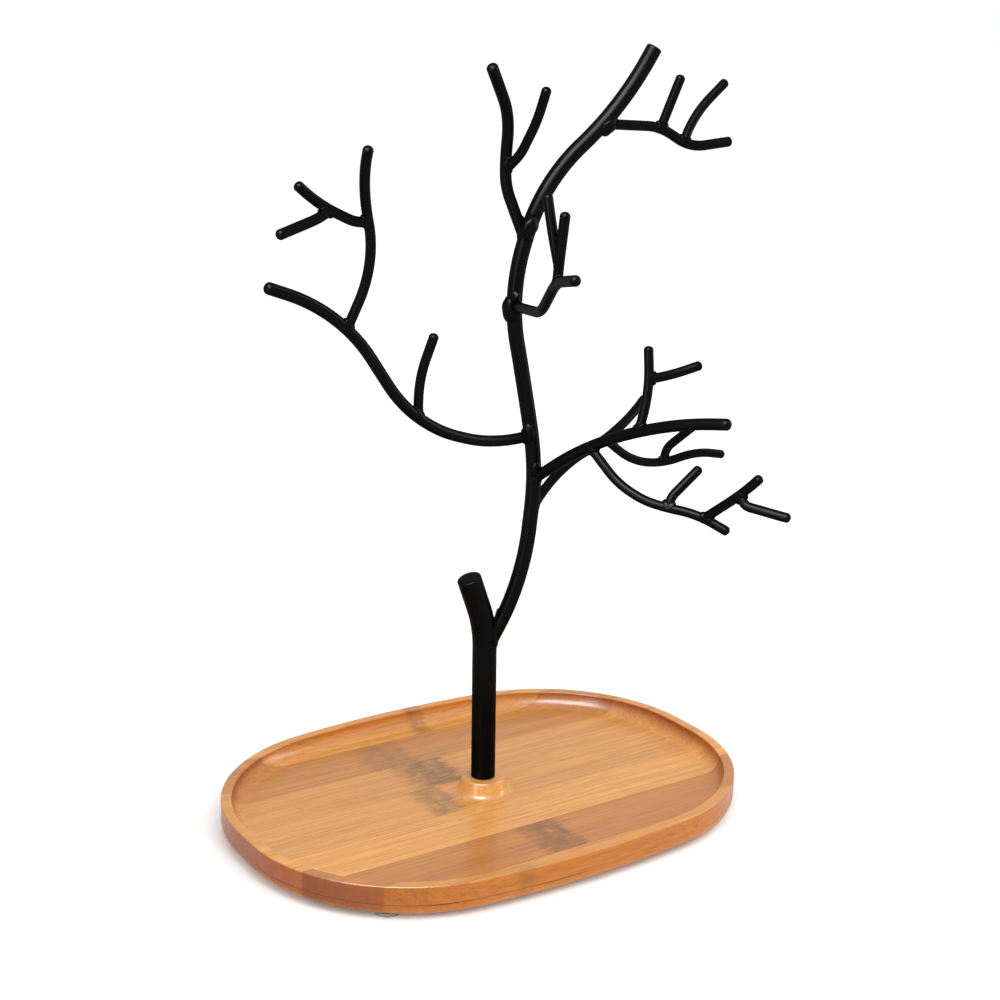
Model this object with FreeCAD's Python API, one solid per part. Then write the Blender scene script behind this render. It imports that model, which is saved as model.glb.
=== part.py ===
"""Jewellery tree: a welded steel-rod tree standing on a routed bamboo tray.

The post of the tree is held on the boss of the tray by one screw from below, and four
pads carry the tray.  Every rod of the tree starts on the centreline of the rod that
carries it, is cut back to that rod's surface and has a weld collar round its root.
Units are millimetres, +Z is up, and Z = 0 is the surface that the pads stand on.
"""
import FreeCAD, Part

import math
import os
from collections import namedtuple

from FreeCAD import Vector

# ------------------------------------------------------------------ tray board
TRAY_LENGTH = 292.0
TRAY_WIDTH = 213.0
TRAY_THICKNESS = 16.0
CORNER_SPREAD = 25.0      # how much narrower than the board its two corner circles are
SIDE_BOW_RADIUS = 530.0   # the long sides bow outwards a little
END_BOW_RADIUS = 510.0    # so do the short ends
RIM_WIDTH = 6.0
FLOOR_THICKNESS = 6.8
COVE_RADIUS = 8.5         # hollow curve from the rim's inner wall to the floor
RIM_ROUNDING = 0.8        # the rim's two top edges
UNDER_ROUNDING = 3.0      # the board's lower edge

# ------------------------------------------------------------------ boss, screw and pads
BOSS_BASE_RADIUS = 14.0
BOSS_TOP_RADIUS = 11.8
BOSS_HEIGHT = 8.8         # above the floor
BOSS_FOOT_RADIUS = 4.5    # hollow curve from the floor up to the boss's side
BOSS_ROUNDING = 1.2
SCREW_RADIUS = 3.0
SCREW_HOLE_GAP = 0.3      # clearance round the screw in the board
SCREW_BITE = 14.0         # how far the screw goes up into the post
TAP_EXTRA = 4.0           # how much deeper the post's tapped hole is
HEAD_RADIUS = 5.3
HEAD_FACE_RADIUS = 3.8    # the button head narrows to this outer face
HEAD_HEIGHT = 2.8
SOCKET_RADIUS = 2.3       # across the corners of the head's hexagonal socket
SOCKET_DEPTH = 1.8
WASHER_RADIUS = 6.6
WASHER_THICKNESS = 1.0
COUNTERBORE_GAP = 0.8     # clearance round the washer
HEAD_SINK = 0.6           # how far the head stays inside the board's underside
PAD_RADIUS = 7.0
PAD_HEIGHT = 2.0
PAD_X = 104.0
PAD_Y = 76.0

# ------------------------------------------------------------------ rods of the tree
POST_DIAMETER = 13.4
STEM_DIAMETER = 8.2
BOUGH_DIAMETER = 6.0
ARM_DIAMETER = 5.3
TWIG_DIAMETER = 5.0
POST_HEIGHT = 88.8        # up to the corner of the post's bend
POST_TOP_RUN = 31.0
POST_LEAN_CLIMB = 70.0    # degrees above the tray
POST_LEAN_HEADING = 180.0
CUT_ROUNDING = 0.9        # edge of a sawn end
TIP_SHARE = 0.6           # a rounded tip's radius, as a share of its rod's radius
WELD_LEG = 0.3            # how far a weld bead stands out and runs up the rod, as a share of
                          # the rod's radius
BEAD_WIDEST = 0.6         # where the bead is widest, as a share of the way out of the carrier
BEAD_ROOT = 0.6           # radius of the bead's two ends, as a share of the rod's radius
SWEEPING = 0.5            # share of an inner run that each of its two bends takes
BRISK = 0.4
SHARP = 0.28
TIP_STRAIGHT = 2.2        # a sweeping bend may take all but this of the last run
SEAM_TURN = 60.0          # degrees that the seam of a rod's surface is turned, to keep it
                          # off the edges of the rods that meet it

# A rod is welded to its carrier at a distance along the carrier's centreline.  Its runs
# are (length, heading, climb): degrees from +X seen from above, and degrees above level.
Rod = namedtuple("Rod", "carrier at diameter bend end runs")
RODS = {
    "main_stem": Rod("post", 73.6, STEM_DIAMETER, SWEEPING, "sawn", [
        (46, -32, 64), (62, -17, 84), (44, 149, 81), (52, -169, 76),
        (59, -16, 74), (57, -13, 41), (34, -20, 61)]),
    "left_bough": Rod("main_stem", 126, BOUGH_DIAMETER, SWEEPING, "round", [
        (25, -177, -4), (40, -169, 18), (29, -173, 35), (62, -170, 54), (43, -177, 20)]),
    "left_bough_twig": Rod("left_bough", 80, TWIG_DIAMETER, SWEEPING, "round", [
        (18, 116, 88), (27, -59, 69)]),
    "left_upright": Rod("left_bough", 146, TWIG_DIAMETER, SWEEPING, "round", [
        (35, -41, 66), (42, -142, 67), (22, -105, 47)]),
    "left_fork": Rod("left_upright", 55, TWIG_DIAMETER, SWEEPING, "round", [
        (7, 177, 2), (19, 172, 26), (15, 177, 41)]),
    "left_spur": Rod("left_fork", 20, TWIG_DIAMETER, SWEEPING, "round", [
        (8, -166, -25), (25, -166, -14)]),
    "right_bough": Rod("main_stem", 102, BOUGH_DIAMETER, SWEEPING, "round", [
        (35, -76, 35), (34, -73, 25), (36, -70, 17), (25, -65, 6)]),
    "right_twig": Rod("right_bough", 77, TWIG_DIAMETER, SWEEPING, "round", [
        (19, 3, 69), (25, 72, 80)]),
    "right_spur": Rod("right_twig", 27, TWIG_DIAMETER, SWEEPING, "round", [
        (12, -15, 7), (17, -21, 17)]),
    "low_arm": Rod("right_bough", 45, TWIG_DIAMETER, SWEEPING, "round", [
        (24, -66, -45), (16, -59, -26), (11, -54, -12), (18, -52, -7), (18, -54, -25)]),
    "low_twig_inner": Rod("low_arm", 53, TWIG_DIAMETER, SWEEPING, "round", [
        (6, 12, 65), (21, -18, 44)]),
    "low_twig_outer": Rod("low_arm", 72, TWIG_DIAMETER, SWEEPING, "round", [
        (28, -72, 38), (13, -61, 47)]),
    "low_spur": Rod("low_twig_outer", 26, TWIG_DIAMETER, SWEEPING, "round", [
        (6, -80, -61), (24, -60, -8)]),
    "rear_bough": Rod("main_stem", 85, ARM_DIAMETER, SWEEPING, "round", [
        (28, 17, 41), (49, 6, 18), (30, 21, 30)]),
    "rear_arm": Rod("rear_bough", 65, TWIG_DIAMETER, SWEEPING, "round", [
        (23, -4, -39), (22, -3, -11), (22, -12, 15), (19, -8, -11)]),
    "rear_arm_twig": Rod("rear_arm", 45, TWIG_DIAMETER, SWEEPING, "round", [
        (8, -79, 83), (24, -65, 42)]),
    "front_branch": Rod("main_stem", 197, ARM_DIAMETER, SHARP, "round", [
        (54, -110, 5), (34, -110, 34), (31, -108, 9)]),
    "front_twig": Rod("front_branch", 88, TWIG_DIAMETER, SWEEPING, "round", [
        (10, -80, 84), (24, -90, 80)]),
    "front_spur": Rod("front_twig", 8, TWIG_DIAMETER, SWEEPING, "round", [
        (16, 120, 77), (18, 100, 77)]),
    "crown_left": Rod("main_stem", 231, BOUGH_DIAMETER, SWEEPING, "round", [
        (29, 140, 69), (13, 177, 89), (23, -106, 76), (33, -148, 48)]),
    "crown_left_twig": Rod("crown_left", 37, TWIG_DIAMETER, BRISK, "round", [
        (12, -69, 41), (20, -75, 58), (18, -84, 66)]),
    "crown_right": Rod("main_stem", 303, ARM_DIAMETER, BRISK, "round", [
        (36, -3, -3), (20, -20, -32), (23, -20, 8)]),
    "crown_right_inner": Rod("crown_right", 36, TWIG_DIAMETER, SWEEPING, "round", [
        (29, -36, 70)]),
    "crown_right_outer": Rod("crown_right", 51, TWIG_DIAMETER, SWEEPING, "round", [
        (17, 24, 53), (27, -2, 40)]),
}

# ------------------------------------------------------------------ derived sizes and levels
CORNER_RADIUS = (TRAY_WIDTH - CORNER_SPREAD) / 2
BOARD_BOTTOM = PAD_HEIGHT
BOARD_TOP = BOARD_BOTTOM + TRAY_THICKNESS
FLOOR_LEVEL = BOARD_BOTTOM + FLOOR_THICKNESS
BOSS_TOP = FLOOR_LEVEL + BOSS_HEIGHT
HEAD_BOTTOM = BOARD_BOTTOM + HEAD_SINK
WASHER_BOTTOM = HEAD_BOTTOM + HEAD_HEIGHT
WASHER_TOP = WASHER_BOTTOM + WASHER_THICKNESS
ROOT = Vector(0, 0, 0)
UP = Vector(0, 0, 1)
TINY = 1e-4


# ------------------------------------------------------------------ tray
def oval(inset, level):
    """Closed outline of the board, moved in by inset: eight arcs, each tangent to the next."""
    side = SIDE_BOW_RADIUS - inset
    end = END_BOW_RADIUS - inset
    corner = CORNER_RADIUS - inset
    side_centre = Vector(0, TRAY_WIDTH / 2 - SIDE_BOW_RADIUS, level)
    end_centre = Vector(TRAY_LENGTH / 2 - END_BOW_RADIUS, 0, level)
    # The corner's centre lies inside both bows by the difference of the radii.
    span = end_centre - side_centre
    to_side = SIDE_BOW_RADIUS - CORNER_RADIUS
    to_end = END_BOW_RADIUS - CORNER_RADIUS
    along = (span.Length ** 2 + to_side ** 2 - to_end ** 2) / (2 * span.Length)
    across = math.sqrt(to_side ** 2 - along ** 2)
    ahead = span / span.Length
    corner_centre = side_centre + ahead * along + Vector(ahead.y, -ahead.x, 0) * across

    def away(centre, towards, radius):
        step = towards - centre
        return centre + step / step.Length * radius

    side_joint = away(side_centre, corner_centre, side)
    end_joint = away(end_centre, corner_centre, end)
    middle = away(corner_centre, (side_joint + end_joint) / 2, corner)
    side_top = side_centre + Vector(0, side, 0)
    end_tip = end_centre + Vector(end, 0, 0)

    def mirrored(point, sx, sy):
        return Vector(point.x * sx, point.y * sy, point.z)

    arcs = []
    for sx, sy in ((1, 1), (1, -1), (-1, -1), (-1, 1)):
        corner_arc = [mirrored(p, sx, sy) for p in (side_joint, middle, end_joint)]
        arcs.append(Part.Arc(*corner_arc).toShape())
    for sy in (1, -1):
        ends = [mirrored(side_joint, sx, sy) for sx in (-1, 1)]
        arcs.append(Part.Arc(ends[0], mirrored(side_top, 1, sy), ends[1]).toShape())
    for sx in (1, -1):
        ends = [mirrored(end_joint, sx, sy) for sy in (-1, 1)]
        arcs.append(Part.Arc(ends[0], mirrored(end_tip, sx, 1), ends[1]).toShape())
    return Part.Wire(Part.__sortEdges__(arcs))


def rim_edges(shape, level):
    """Edges of a shape that lie flat at one level."""
    return [e for e in shape.Edges
            if abs(e.BoundBox.ZMin - level) < TINY and abs(e.BoundBox.ZMax - level) < TINY]


def tray():
    """One board: oval outline, routed hollow with a coved wall, boss and screw hole."""
    board = Part.Face(oval(0, BOARD_BOTTOM)).extrude(UP * TRAY_THICKNESS)
    board = board.makeFillet(UNDER_ROUNDING, rim_edges(board, BOARD_BOTTOM))
    hollow = Part.Face(oval(RIM_WIDTH, FLOOR_LEVEL)).extrude(UP * TRAY_THICKNESS)
    hollow = hollow.makeFillet(COVE_RADIUS, rim_edges(hollow, FLOOR_LEVEL))
    board = board.cut(hollow)
    board = board.makeFillet(RIM_ROUNDING, rim_edges(board, BOARD_TOP))
    boss = Part.makeCone(BOSS_BASE_RADIUS, BOSS_TOP_RADIUS, BOSS_HEIGHT,
                         Vector(0, 0, FLOOR_LEVEL), UP)
    board = board.fuse(boss)
    foot = [e for e in rim_edges(board, FLOOR_LEVEL) if e.BoundBox.XMax < BOSS_BASE_RADIUS + TINY]
    board = board.makeFillet(BOSS_FOOT_RADIUS, foot)
    board = board.makeFillet(BOSS_ROUNDING, rim_edges(board, BOSS_TOP))
    hole = Part.makeCylinder(SCREW_RADIUS + SCREW_HOLE_GAP, BOSS_TOP, Vector(0, 0, 0), UP)
    counterbore = Part.makeCylinder(WASHER_RADIUS + COUNTERBORE_GAP, WASHER_TOP,
                                    Vector(0, 0, 0), UP)
    return board.cut(hole).cut(counterbore)


# ------------------------------------------------------------------ screw, washer, pads
def base_screw():
    """Button-head screw with a hexagonal socket, from the board's underside into the post."""
    shank_top = BOSS_TOP + SCREW_BITE
    shank = Part.makeCylinder(SCREW_RADIUS, shank_top - WASHER_BOTTOM,
                              Vector(0, 0, WASHER_BOTTOM), UP)
    head = Part.makeCone(HEAD_FACE_RADIUS, HEAD_RADIUS, HEAD_HEIGHT,
                         Vector(0, 0, HEAD_BOTTOM), UP)
    corners = [Vector(SOCKET_RADIUS * math.cos(math.radians(60 * i)),
                      SOCKET_RADIUS * math.sin(math.radians(60 * i)), HEAD_BOTTOM)
               for i in range(7)]
    socket = Part.Face(Part.makePolygon(corners)).extrude(UP * SOCKET_DEPTH)
    return shank.fuse(head).cut(socket)


def washer():
    """Flat washer between the screw's head and the counterbore's ceiling."""
    disc = Part.makeCylinder(WASHER_RADIUS, WASHER_THICKNESS, Vector(0, 0, WASHER_BOTTOM), UP)
    hole = Part.makeCylinder(SCREW_RADIUS + SCREW_HOLE_GAP, WASHER_THICKNESS,
                             Vector(0, 0, WASHER_BOTTOM), UP)
    return disc.cut(hole)


def pads():
    """Four stick-on pads under the corners of the board."""
    places = [Vector(x, y, 0) for x in (-PAD_X, PAD_X) for y in (-PAD_Y, PAD_Y)]
    return Part.makeCompound([Part.makeCylinder(PAD_RADIUS, PAD_HEIGHT, place, UP)
                              for place in places])


# ------------------------------------------------------------------ bent rods
def direction(heading, climb):
    """Unit vector of a run."""
    level = math.cos(math.radians(climb))
    return Vector(level * math.cos(math.radians(heading)),
                  level * math.sin(math.radians(heading)),
                  math.sin(math.radians(climb)))


def turned(point, centre, axis, angle):
    """Point turned about an axis through a centre, by an angle in radians."""
    return centre + FreeCAD.Rotation(axis, math.degrees(angle)).multVec(point - centre)


class Centreline:
    """Straight runs joined by tangent arcs, from a root at the origin."""

    def __init__(self, runs, bend, root_straight=0):
        corners = [ROOT]
        for length, heading, climb in runs:
            corners.append(corners[-1] + direction(heading, climb) * length)
        self.start_direction = direction(*runs[0][1:])
        self.end = corners[-1]
        self.pieces = []          # ("line", start, end) or ("arc", start, centre, axis, angle)
        reached = ROOT
        last = len(runs) - 1
        for i in range(1, len(runs)):
            before = direction(*runs[i - 1][1:])
            after = direction(*runs[i][1:])
            angle = before.getAngle(after)
            sweeping = bend >= SWEEPING
            room_before = bend * runs[i - 1][0]
            room_after = bend * runs[i][0]
            if sweeping and i == 1:
                room_before = runs[0][0] - root_straight
            if sweeping and i == last:
                room_after = runs[i][0] - TIP_STRAIGHT
            tangent = min(room_before, room_after)
            start = corners[i] - before * tangent
            radius = tangent / math.tan(angle / 2)
            axis = before.cross(after)
            axis.normalize()
            self.add_line(reached, start)
            self.pieces.append(("arc", start, start + axis.cross(before) * radius, axis, angle))
            reached = corners[i] + after * tangent
        self.add_line(reached, self.end)

    def add_line(self, start, end):
        if (end - start).Length > TINY:
            self.pieces.append(("line", start, end))

    def at(self, distance):
        """Point at a distance along the centreline."""
        for kind, start, *rest in self.pieces:
            if kind == "line":
                length = (rest[0] - start).Length
                if distance <= length:
                    return start + (rest[0] - start) / length * distance
            else:
                centre, axis, angle = rest
                radius = (start - centre).Length
                length = radius * angle
                if distance <= length:
                    return turned(start, centre, axis, distance / radius)
            distance -= length
        return self.end

    def direction_at(self, distance):
        """Unit vector along the rod at a distance along the centreline."""
        step = 0.01
        ahead = self.at(distance + step) - self.at(distance - step)
        return ahead / ahead.Length

    def rod(self, radius):
        """Round rod swept along the centreline: cylinders joined by ring sectors."""
        edges = []
        for kind, start, *rest in self.pieces:
            if kind == "line":
                edges.append(Part.makeLine(start, rest[0]))
            else:
                centre, axis, angle = rest
                middle = turned(start, centre, axis, angle / 2)
                end = turned(start, centre, axis, angle)
                edges.append(Part.Arc(start, middle, end).toShape())
        section = Part.makeCircle(radius, ROOT, self.start_direction)
        section.rotate(ROOT, self.start_direction, SEAM_TURN)
        return Part.Wire(edges).makePipeShell([Part.Wire(section)], True, False)


def rounded(rod, centre, rounding):
    """Rounds the circular edge round one end of a rod."""
    edge = min(rod.Edges, key=lambda e: (e.CenterOfMass - centre).Length)
    return rod.makeFillet(rounding, [edge])


def weld_bead(line, radius, way_out, leg):
    """Bead of weld metal round a rod's root: two cones, base to base inside the carrier."""
    widest = way_out * BEAD_WIDEST
    ahead = line.start_direction
    lower = Part.makeCone(radius * BEAD_ROOT, radius + leg, widest, ROOT, ahead)
    upper = Part.makeCone(radius + leg, radius * BEAD_ROOT, way_out + leg * 2 - widest,
                          ahead * widest, ahead)
    return lower.fuse(upper)


def post():
    """Thick post of the tree: upright, bent aside near its sawn top, tapped from below."""
    line = Centreline([(POST_HEIGHT, 0, 90),
                       (POST_TOP_RUN, POST_LEAN_HEADING, POST_LEAN_CLIMB)], BRISK)
    solid = line.rod(POST_DIAMETER / 2)
    for end in (ROOT, line.end):
        solid = rounded(solid, end, CUT_ROUNDING)
    tapped = Part.makeCylinder(SCREW_RADIUS, SCREW_BITE + TAP_EXTRA, ROOT, UP)
    return line, solid.cut(tapped)


def branch(rod, carrier, carrier_radius):
    """Centreline and solid of a welded rod, with its root at the origin.

    Returns them with the root's place on the carrier's centreline.  The rod and its weld
    bead are cut to the carrier's surface.
    """
    radius = rod.diameter / 2
    leg = radius * WELD_LEG
    # The flatter a rod leaves its carrier, the longer it runs inside the carrier.
    slant = direction(*rod.runs[0][1:]).getAngle(carrier.direction_at(rod.at))
    way_out = carrier_radius / math.sin(slant)
    line = Centreline(rod.runs, rod.bend, way_out + leg)
    rounding = CUT_ROUNDING if rod.end == "sawn" else radius * TIP_SHARE
    solid = rounded(line.rod(radius), line.end, rounding)
    solid = solid.fuse(weld_bead(line, radius, way_out, leg))
    place = carrier.at(rod.at)
    carrier_rod = carrier.rod(carrier_radius)
    carrier_rod.translate(place * -1)
    pieces = solid.cut(carrier_rod).Solids
    return line, max(pieces, key=lambda piece: piece.Volume), place


def tree():
    """The post and every rod welded to it or to each other, each in its place."""
    line, solid = post()
    lines, solids, places = {"post": line}, {"post": solid}, {"post": Vector(0, 0, BOSS_TOP)}
    radii = {"post": POST_DIAMETER / 2}
    for name, rod in RODS.items():
        lines[name], solids[name], place = branch(rod, lines[rod.carrier], radii[rod.carrier])
        places[name] = places[rod.carrier] + place
        radii[name] = rod.diameter / 2
    for name, solid in solids.items():
        solid.translate(places[name])
    return solids


# ------------------------------------------------------------------ write the parts
def main():
    os.makedirs("parts", exist_ok=True)
    nodes = {"tray": tray(), "base_screw": base_screw(), "washer": washer(), "pads": pads()}
    nodes.update(tree())
    # The origin is under the middle of the space that the whole stand takes up.
    space = Part.makeCompound(list(nodes.values())).optimalBoundingBox(False, False)
    shift = Vector(-space.Center.x, -space.Center.y, 0)
    for name, shape in nodes.items():
        shape.translate(shift)
        shape.exportStep(f"parts/{name}.step")
        print(f"{name}: solids {len(shape.Solids)} volume {shape.Volume:.0f} valid {shape.isValid()}")
    print(f"post axis at {shift.x:.2f} {shift.y:.2f}")


main()
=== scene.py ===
"""Dresses the jewellery tree: coated rods with lumpy welds on a lacquered bamboo tray.

Every new surface is worked out with numpy as a grid of points in millimetres and is then
put into a mesh in metres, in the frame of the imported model.
"""
from collections import namedtuple
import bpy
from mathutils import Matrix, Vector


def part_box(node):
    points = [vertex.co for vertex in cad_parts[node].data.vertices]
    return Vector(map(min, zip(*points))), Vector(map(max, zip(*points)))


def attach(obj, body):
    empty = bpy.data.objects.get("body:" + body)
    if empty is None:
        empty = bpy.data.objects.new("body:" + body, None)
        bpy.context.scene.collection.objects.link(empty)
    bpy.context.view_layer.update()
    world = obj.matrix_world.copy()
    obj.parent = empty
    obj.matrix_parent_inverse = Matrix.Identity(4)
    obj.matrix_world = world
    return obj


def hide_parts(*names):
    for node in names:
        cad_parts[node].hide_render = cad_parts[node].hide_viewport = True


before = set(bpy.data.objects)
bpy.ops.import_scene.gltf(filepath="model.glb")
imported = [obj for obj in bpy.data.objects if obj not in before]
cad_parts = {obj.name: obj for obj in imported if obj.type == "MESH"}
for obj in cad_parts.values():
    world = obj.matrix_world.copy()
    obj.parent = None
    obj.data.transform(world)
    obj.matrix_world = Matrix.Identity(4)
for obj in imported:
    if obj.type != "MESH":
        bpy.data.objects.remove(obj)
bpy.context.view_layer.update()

from types import SimpleNamespace

import bpy
import numpy as np
from mathutils import Matrix, Vector

bl_info = {
    "name": "Jewellery tree on a bamboo tray",
    "version": (1, 0, 0),
    "blender": (4, 5, 0),
    "location": "3D View > Sidebar > Jewellery tree",
    "description": "Coated steel rods, weld beads and a laminated bamboo tray",
    "category": "Object",
}

MM = 0.001
BODY = "root"


def node_box(name):
    """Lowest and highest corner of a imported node, in millimetres."""
    low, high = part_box(name)
    return np.array(low) / MM, np.array(high) / MM


TRAY_LOW, TRAY_HIGH = node_box("tray")
TRAY_SIZE = TRAY_HIGH - TRAY_LOW
TRAY_CENTRE = (TRAY_LOW + TRAY_HIGH) / 2
POST_FOOT = np.array([TRAY_CENTRE[0], TRAY_CENTRE[1], node_box("post")[0][2]])

# ------------------------------------------------------------------ the tree's design
POST_DIAMETER = 13.4
STEM_DIAMETER = 8.2
BOUGH_DIAMETER = 6.0
ARM_DIAMETER = 5.3
TWIG_DIAMETER = 5.0
SWEEPING, BRISK, SHARP = 0.5, 0.4, 0.28     # share of a run that each of its two bends takes
TIP_STRAIGHT = 2.2      # what a sweeping bend leaves of the last run, mm
WELD_LEG = 0.3          # of the rod's radius, straight beyond the carrier

# Carrier, distance along its centreline, diameter, kind of bends and of tip, and runs of
# (length in mm, heading from +X in degrees, climb above level in degrees).
Rod = namedtuple("Rod", "carrier at diameter bend tip runs")
RODS = {
    "post": Rod(None, 0, POST_DIAMETER, BRISK, "sawn", [(88.8, 0, 90), (31, 180, 70)]),
    "main_stem": Rod("post", 73.6, STEM_DIAMETER, SWEEPING, "sawn", [
        (46, -32, 64), (62, -17, 84), (44, 149, 81), (52, -169, 76),
        (59, -16, 74), (57, -13, 41), (34, -20, 61)]),
    "left_bough": Rod("main_stem", 126, BOUGH_DIAMETER, SWEEPING, "round", [
        (25, -177, -4), (40, -169, 18), (29, -173, 35), (62, -170, 54), (43, -177, 20)]),
    "left_bough_twig": Rod("left_bough", 80, TWIG_DIAMETER, SWEEPING, "round", [
        (18, 116, 88), (27, -59, 69)]),
    "left_upright": Rod("left_bough", 146, TWIG_DIAMETER, SWEEPING, "round", [
        (35, -41, 66), (42, -142, 67), (22, -105, 47)]),
    "left_fork": Rod("left_upright", 55, TWIG_DIAMETER, SWEEPING, "round", [
        (7, 177, 2), (19, 172, 26), (15, 177, 41)]),
    "left_spur": Rod("left_fork", 20, TWIG_DIAMETER, SWEEPING, "round", [
        (8, -166, -25), (25, -166, -14)]),
    "right_bough": Rod("main_stem", 102, BOUGH_DIAMETER, SWEEPING, "round", [
        (35, -76, 35), (34, -73, 25), (36, -70, 17), (25, -65, 6)]),
    "right_twig": Rod("right_bough", 77, TWIG_DIAMETER, SWEEPING, "round", [
        (19, 3, 69), (25, 72, 80)]),
    "right_spur": Rod("right_twig", 27, TWIG_DIAMETER, SWEEPING, "round", [
        (12, -15, 7), (17, -21, 17)]),
    "low_arm": Rod("right_bough", 45, TWIG_DIAMETER, SWEEPING, "round", [
        (24, -66, -45), (16, -59, -26), (11, -54, -12), (18, -52, -7), (18, -54, -25)]),
    "low_twig_inner": Rod("low_arm", 53, TWIG_DIAMETER, SWEEPING, "round", [
        (6, 12, 65), (21, -18, 44)]),
    "low_twig_outer": Rod("low_arm", 72, TWIG_DIAMETER, SWEEPING, "round", [
        (28, -72, 38), (13, -61, 47)]),
    "low_spur": Rod("low_twig_outer", 26, TWIG_DIAMETER, SWEEPING, "round", [
        (6, -80, -61), (24, -60, -8)]),
    "rear_bough": Rod("main_stem", 85, ARM_DIAMETER, SWEEPING, "round", [
        (28, 17, 41), (49, 6, 18), (30, 21, 30)]),
    "rear_arm": Rod("rear_bough", 65, TWIG_DIAMETER, SWEEPING, "round", [
        (23, -4, -39), (22, -3, -11), (22, -12, 15), (19, -8, -11)]),
    "rear_arm_twig": Rod("rear_arm", 45, TWIG_DIAMETER, SWEEPING, "round", [
        (8, -79, 83), (24, -65, 42)]),
    "front_branch": Rod("main_stem", 197, ARM_DIAMETER, SHARP, "round", [
        (54, -110, 5), (34, -110, 34), (31, -108, 9)]),
    "front_twig": Rod("front_branch", 88, TWIG_DIAMETER, SWEEPING, "round", [
        (10, -80, 84), (24, -90, 80)]),
    "front_spur": Rod("front_twig", 8, TWIG_DIAMETER, SWEEPING, "round", [
        (16, 120, 77), (18, 100, 77)]),
    "crown_left": Rod("main_stem", 231, BOUGH_DIAMETER, SWEEPING, "round", [
        (29, 140, 69), (13, 177, 89), (23, -106, 76), (33, -148, 48)]),
    "crown_left_twig": Rod("crown_left", 37, TWIG_DIAMETER, BRISK, "round", [
        (12, -69, 41), (20, -75, 58), (18, -84, 66)]),
    "crown_right": Rod("main_stem", 303, ARM_DIAMETER, BRISK, "round", [
        (36, -3, -3), (20, -20, -32), (23, -20, 8)]),
    "crown_right_inner": Rod("crown_right", 36, TWIG_DIAMETER, SWEEPING, "round", [
        (29, -36, 70)]),
    "crown_right_outer": Rod("crown_right", 51, TWIG_DIAMETER, SWEEPING, "round", [
        (17, 24, 53), (27, -2, 40)]),
}


# ------------------------------------------------------------------ sizes and colours
def linear(hex_colour):
    """sRGB hex to linear RGBA: (c + 0.055) / 1.055 to the power 2.4, or c / 12.92 near black."""
    rgb = np.array([int(hex_colour[i:i + 2], 16) for i in (1, 3, 5)]) / 255
    low = rgb / 12.92
    high = ((rgb + 0.055) / 1.055) ** 2.4
    return (*np.where(rgb <= 0.04045, low, high).tolist(), 1.0)


class TreeTraySizes(bpy.types.PropertyGroup):
    """Sizes of the routed tray that its outside box doesn't give."""
    corner_spread: bpy.props.FloatProperty(
        name="Corner spread", description="How much narrower than the board its corner circles are",
        default=25 * MM, min=0, unit="LENGTH")
    side_bow: bpy.props.FloatProperty(
        name="Side bow", description="Radius of the long sides", default=530 * MM, unit="LENGTH")
    end_bow: bpy.props.FloatProperty(
        name="End bow", description="Radius of the short ends", default=510 * MM, unit="LENGTH")
    rim_width: bpy.props.FloatProperty(
        name="Rim width", description="From the outside wall to the inside wall",
        default=6 * MM, unit="LENGTH")
    floor_thickness: bpy.props.FloatProperty(
        name="Floor thickness", description="Board left under the hollow",
        default=6.8 * MM, unit="LENGTH")
    cove_radius: bpy.props.FloatProperty(
        name="Cove radius", description="Hollow curve from the wall to the floor",
        default=8.5 * MM, unit="LENGTH")
    rim_rounding: bpy.props.FloatProperty(
        name="Rim rounding", description="Radius of the rim's two edges",
        default=0.8 * MM, unit="LENGTH")
    under_rounding: bpy.props.FloatProperty(
        name="Underside rounding", description="Radius of the lower edge",
        default=4.5 * MM, unit="LENGTH")
    boss_base: bpy.props.FloatProperty(
        name="Boss base radius", description="Where the boss's side meets the floor",
        default=14 * MM, unit="LENGTH")
    boss_top: bpy.props.FloatProperty(
        name="Boss top radius", description="Radius at the top of the boss",
        default=11.8 * MM, unit="LENGTH")
    boss_height: bpy.props.FloatProperty(
        name="Boss height", description="Above the floor", default=8.8 * MM, unit="LENGTH")
    boss_foot: bpy.props.FloatProperty(
        name="Boss foot radius", description="Hollow curve at the boss's foot",
        default=4.5 * MM, unit="LENGTH")
    boss_rounding: bpy.props.FloatProperty(
        name="Boss rounding", description="Radius of the boss's top edge",
        default=1.2 * MM, unit="LENGTH")
    screw_hole: bpy.props.FloatProperty(
        name="Screw hole radius", description="Hole up through the boss",
        default=3.3 * MM, unit="LENGTH")
    counterbore: bpy.props.FloatProperty(
        name="Counterbore radius", description="Wide hole for the screw's head",
        default=7.4 * MM, unit="LENGTH")
    counterbore_depth: bpy.props.FloatProperty(
        name="Counterbore depth", description="Depth of the wide hole",
        default=4.4 * MM, unit="LENGTH")


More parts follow.
